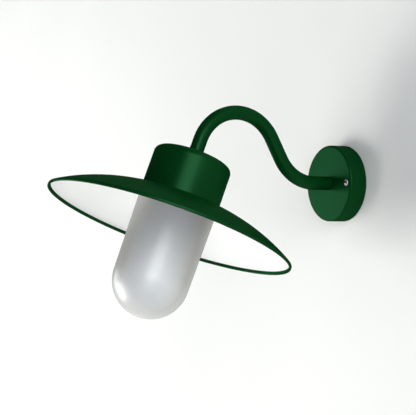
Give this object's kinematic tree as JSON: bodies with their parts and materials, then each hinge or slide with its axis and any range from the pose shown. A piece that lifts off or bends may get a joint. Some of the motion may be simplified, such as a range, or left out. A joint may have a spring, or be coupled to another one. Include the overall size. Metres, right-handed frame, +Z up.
{
  "type": "gooseneck wall light",
  "caption": "Wall light with a round rose, a bent tube arm, a drawn cap, a wide shallow shade with a rolled rim, and a frosted glass that screws in over a screw lampholder and bulb.",
  "frame": {"origin": "centre of the wall rose on the wall plane, which is the back of the bracket and the gasket", "axes": "+Y into the wall, -Y out from the wall, +Z up, +X to the right for someone who faces the wall"},
  "size_m": [0.313, 0.4067, 0.2648],
  "materials": {
    "green_enamel": "satin powder coat",
    "zinc_steel": "zinc plated",
    "stainless_steel": "plain stainless",
    "brass": "bright",
    "black_rubber": "matte",
    "cast_aluminium": "die cast",
    "black_plastic": "moulded",
    "ivory_plastic": "moulded",
    "porcelain": "glazed",
    "white_cable": "extruded",
    "brown_insulation": "extruded",
    "blue_insulation": "extruded",
    "earth_insulation": "green and yellow",
    "frosted_glass": "satin etched",
    "nickel": "nickel plated",
    "white_plastic": "moulded",
    "opal_plastic": "opal"
  },
  "bodies": {
    "fixture": {"wall_bracket": "zinc_steel", "bracket_pillars": "zinc_steel", "wall_gasket": "black_rubber", "wall_rose": "green_enamel", "rose_backing_plate": "zinc_steel", "rose_screws": "stainless_steel", "arm_tube": "green_enamel", "wall_end_bush": "brass", "wall_nipple": "brass", "wall_lock_washer": "zinc_steel", "wall_lock_nut": "brass", "head_end_bush": "brass", "head_nipple": "brass", "head_lock_washer": "zinc_steel", "head_lock_nut": "brass", "terminal_block": "ivory_plastic", "terminal_sleeves": "brass", "terminal_screws": "zinc_steel", "terminal_fixing_screw": "zinc_steel", "earth_stud": "zinc_steel", "earth_lug": "zinc_steel", "earth_washer": "zinc_steel", "earth_nut": "zinc_steel", "earth_lead": "earth_insulation", "arm_cable": "white_cable", "brown_cores": "brown_insulation", "blue_cores": "blue_insulation", "cap": "green_enamel", "head_plate": "zinc_steel", "head_pillars": "zinc_steel", "shade": "green_enamel", "shade_gasket": "black_rubber", "gallery_ring": "cast_aluminium", "gallery_screws": "stainless_steel", "holder_dome": "black_plastic", "holder_insert": "porcelain", "holder_terminals": "brass", "holder_terminal_screws": "zinc_steel", "holder_centre_contact": "brass", "holder_side_contact": "brass", "holder_shell": "brass", "holder_skirt": "black_plastic"},
    "seal": {"glass_seal": "black_rubber"},
    "glass": {"glass_neck": "frosted_glass", "glass": "frosted_glass", "glass_round_end": "frosted_glass"},
    "bulb_tip": {"bulb_contact": "nickel"},
    "bulb": {"bulb_insulator": "black_plastic", "bulb_screw_shell": "nickel", "bulb_housing": "white_plastic", "bulb_board": "cast_aluminium", "bulb_diffuser": "opal_plastic"}
  },
  "joints": [
    {"name": "glass_drop", "type": "slide", "parent": "fixture", "child": "seal", "axis": [0, -0.3681, -0.9298], "range_m": [0, 0.0121]},
    {"name": "glass_turn", "type": "hinge", "parent": "seal", "child": "glass", "pos_m": [0, -0.22629, 0.02778], "axis": [0, -0.3681, -0.9298], "range_deg": [0, 720]},
    {"name": "bulb_drop", "type": "slide", "parent": "fixture", "child": "bulb_tip", "axis": [0, -0.3681, -0.9298], "range_m": [0, 0.0146]},
    {"name": "bulb_turn", "type": "hinge", "parent": "bulb_tip", "child": "bulb", "pos_m": [0, -0.22629, 0.02778], "axis": [0, -0.3681, -0.9298], "range_deg": [0, 1440]}
  ],
  "couplings": [
    {"joint": "glass_drop", "follows": "glass_turn", "m_per_rad": 0.00095493},
    {"joint": "bulb_drop", "follows": "bulb_turn", "m_per_rad": 0.0005775}
  ]
}
